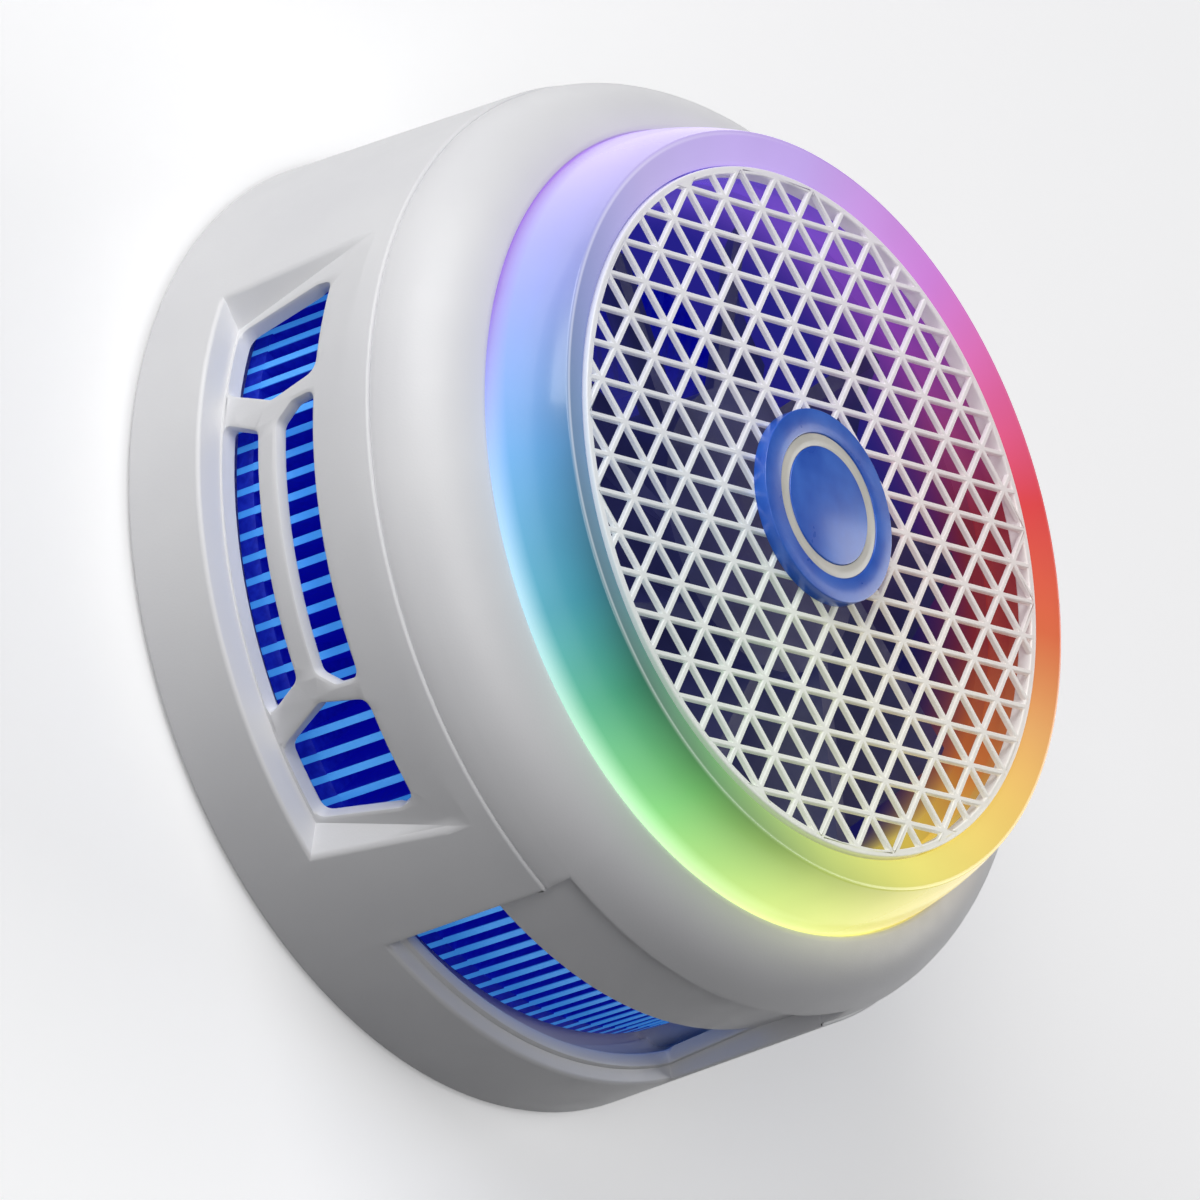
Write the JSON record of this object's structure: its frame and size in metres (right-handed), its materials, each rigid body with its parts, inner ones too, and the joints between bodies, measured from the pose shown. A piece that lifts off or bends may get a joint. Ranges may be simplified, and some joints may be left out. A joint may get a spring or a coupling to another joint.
{
  "type": "magnetic phone cooler",
  "caption": "Round clip-free phone cooler: a magnetic cold plate backs onto the phone, with a finned heat sink, an axial fan under a lattice grille and a glowing ring.",
  "frame": {"origin": "centre of the contact face that lies on the phone's back", "axes": "+Z along the fan's axis, out through the grille; +Y towards the side with the power inlet; +X completes a right-handed frame"},
  "size_m": [0.065, 0.065, 0.0316],
  "materials": {
    "white_shell": "satin",
    "white_grille": "satin",
    "diffuser": "milky, glossy",
    "badge_blue": "glossy with a pale inlay",
    "contact_silicone": "soft matt",
    "grip_rubber": "matt",
    "cold_aluminium": "brushed",
    "tray_plastic": "satin",
    "magnet": "nickel plated",
    "steel": "bright zinc",
    "ceramic": "matt",
    "pellet": "metallic grey",
    "lead": "satin",
    "blue_aluminium": "blue anodised",
    "black_plastic": "satin",
    "board_green": "solder mask",
    "board_white": "solder mask",
    "core_steel": "laminated",
    "copper": "enamelled wire",
    "bearing_bronze": "sintered",
    "white_plastic": "natural",
    "rotor_ferrite": "matt",
    "impeller_plastic": "satin",
    "lamp": "clear over phosphor"
  },
  "bodies": {
    "case": {"body_shell": "white_shell", "front_shell": "white_shell", "grille": "white_grille", "light_ring": "diffuser", "badge": "badge_blue", "contact_pad": "contact_silicone", "thermal_pad": "contact_silicone", "grip_ring": "grip_rubber", "sink_gasket": "grip_rubber", "insulation_frame": "grip_rubber", "cold_plate": "cold_aluminium", "magnet_tray": "tray_plastic", "magnets": "magnet", "magnet_back_plate": "steel", "sink_screws": "steel", "fan_screws": "steel", "case_screws": "steel", "inlet_shell": "steel", "module_cold_ceramic": "ceramic", "module_hot_ceramic": "ceramic", "module_pellets": "pellet", "module_leads": "lead", "sink_plate": "blue_aluminium", "sink_fins": "blue_aluminium", "fan_frame": "black_plastic", "board_parts": "black_plastic", "inlet_tongue": "black_plastic", "motor_board": "board_green", "control_board": "board_green", "ring_board": "board_white", "stator_core": "core_steel", "stator_coils": "copper", "sleeve_bearing": "bearing_bronze", "thrust_pad": "white_plastic", "ring_lamps": "lamp"},
    "rotor": {"shaft": "steel", "shaft_clip": "white_plastic", "rotor_magnet": "rotor_ferrite", "rotor_yoke": "steel", "impeller": "impeller_plastic"}
  },
  "joints": [
    {"name": "fan_spin", "type": "hinge", "parent": "case", "child": "rotor", "pos_m": [0, 0, 0.02], "axis": [0, 0, 1], "continuous": true}
  ]
}
